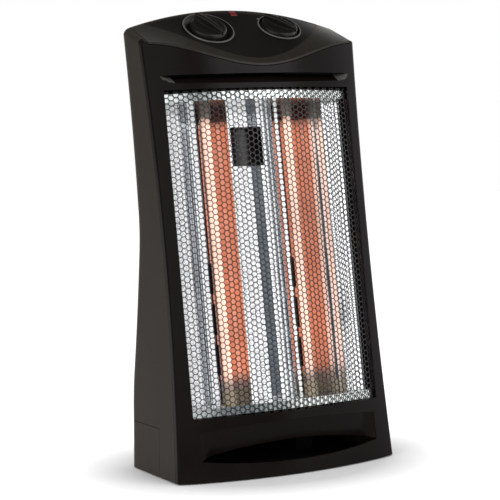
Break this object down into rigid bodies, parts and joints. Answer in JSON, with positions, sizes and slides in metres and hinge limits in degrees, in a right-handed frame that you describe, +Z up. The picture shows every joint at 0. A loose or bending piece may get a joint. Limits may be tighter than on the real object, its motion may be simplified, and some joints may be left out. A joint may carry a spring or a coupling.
{
  "type": "quartz tower heater",
  "caption": "Leaning tower room heater with quartz lamps in folded reflectors behind a bowed perforated guard, sloping top with thermostat and power knobs, tip-over switch.",
  "frame": {"origin": "on the floor under the middle of the tower, at the bottom of the rubber feet", "axes": "+X to the right seen from the front, +Y towards the rear wall, +Z up; the guard faces -Y"},
  "size_m": [0.2978, 0.2079, 0.58],
  "materials": {
    "housing_plastic": "fine satin texture",
    "bezel_plastic": "fine satin texture",
    "cap_plastic": "fine satin texture",
    "panel_plastic": "satin",
    "knob_plastic": "semi-gloss",
    "inner_plastic": "moulded",
    "red_lens": "translucent dark red",
    "rubber": "moulded",
    "guard_chrome": "plated",
    "reflector_sheet": "bright rolled",
    "zinc_steel": "zinc plated",
    "ceramic": "unglazed",
    "quartz": "clear quartz tube",
    "coil_wire": "glowing resistance wire"
  },
  "bodies": {
    "housing": {"front_bezel": "bezel_plastic", "rear_housing": "housing_plastic", "base_foot": "housing_plastic", "base_plate": "housing_plastic", "top_cap": "cap_plastic", "control_panel": "panel_plastic", "indicator_lens": "red_lens", "indicator_lamp": "red_lens", "thermostat_body": "inner_plastic", "selector_switch": "inner_plastic", "cord_gland": "rubber", "rubber_foot_front_left": "rubber", "rubber_foot_front_right": "rubber", "rubber_foot_rear_left": "rubber", "rubber_foot_rear_right": "rubber", "tip_switch_body": "inner_plastic", "tip_spring": "zinc_steel", "grille": "guard_chrome", "reflector_left": "reflector_sheet", "reflector_right": "reflector_sheet", "reflector_middle": "reflector_sheet", "reflector_top_plate": "reflector_sheet", "reflector_bottom_plate": "reflector_sheet", "chassis": "zinc_steel", "quartz_tube_left": "quartz", "quartz_tube_right": "quartz", "heating_coil_left": "coil_wire", "heating_coil_right": "coil_wire", "lamp_cap_top_left": "ceramic", "lamp_cap_top_right": "ceramic", "lamp_cap_bottom_left": "ceramic", "lamp_cap_bottom_right": "ceramic", "thermal_cutout": "inner_plastic", "chassis_screw_top_left": "zinc_steel", "chassis_screw_top_right": "zinc_steel", "chassis_screw_bottom_left": "zinc_steel", "chassis_screw_bottom_right": "zinc_steel"},
    "thermostat_dial": {"thermostat_knob": "knob_plastic", "thermostat_shaft": "zinc_steel"},
    "selector_dial": {"selector_knob": "knob_plastic", "selector_shaft": "zinc_steel"},
    "tip_over_plunger": {"tip_plunger": "inner_plastic"}
  },
  "joints": [
    {"name": "thermostat_turn", "type": "hinge", "parent": "housing", "child": "thermostat_dial", "pos_m": [-0.0465, -0.0026, 0.55215], "axis": [0, -0.6317, 0.7752], "range_deg": [-270, 0]},
    {"name": "selector_turn", "type": "hinge", "parent": "housing", "child": "selector_dial", "pos_m": [0.054, 0, 0.55402], "axis": [0, -0.6199, 0.7847], "range_deg": [-90, 0]},
    {"name": "tip_plunger_slide", "type": "slide", "parent": "housing", "child": "tip_over_plunger", "axis": [0, 0, -1], "range_m": [0, 0.004], "stiffness_N_per_m": 150, "springref_m": 0.006, "deforming": ["tip_spring"]}
  ]
}
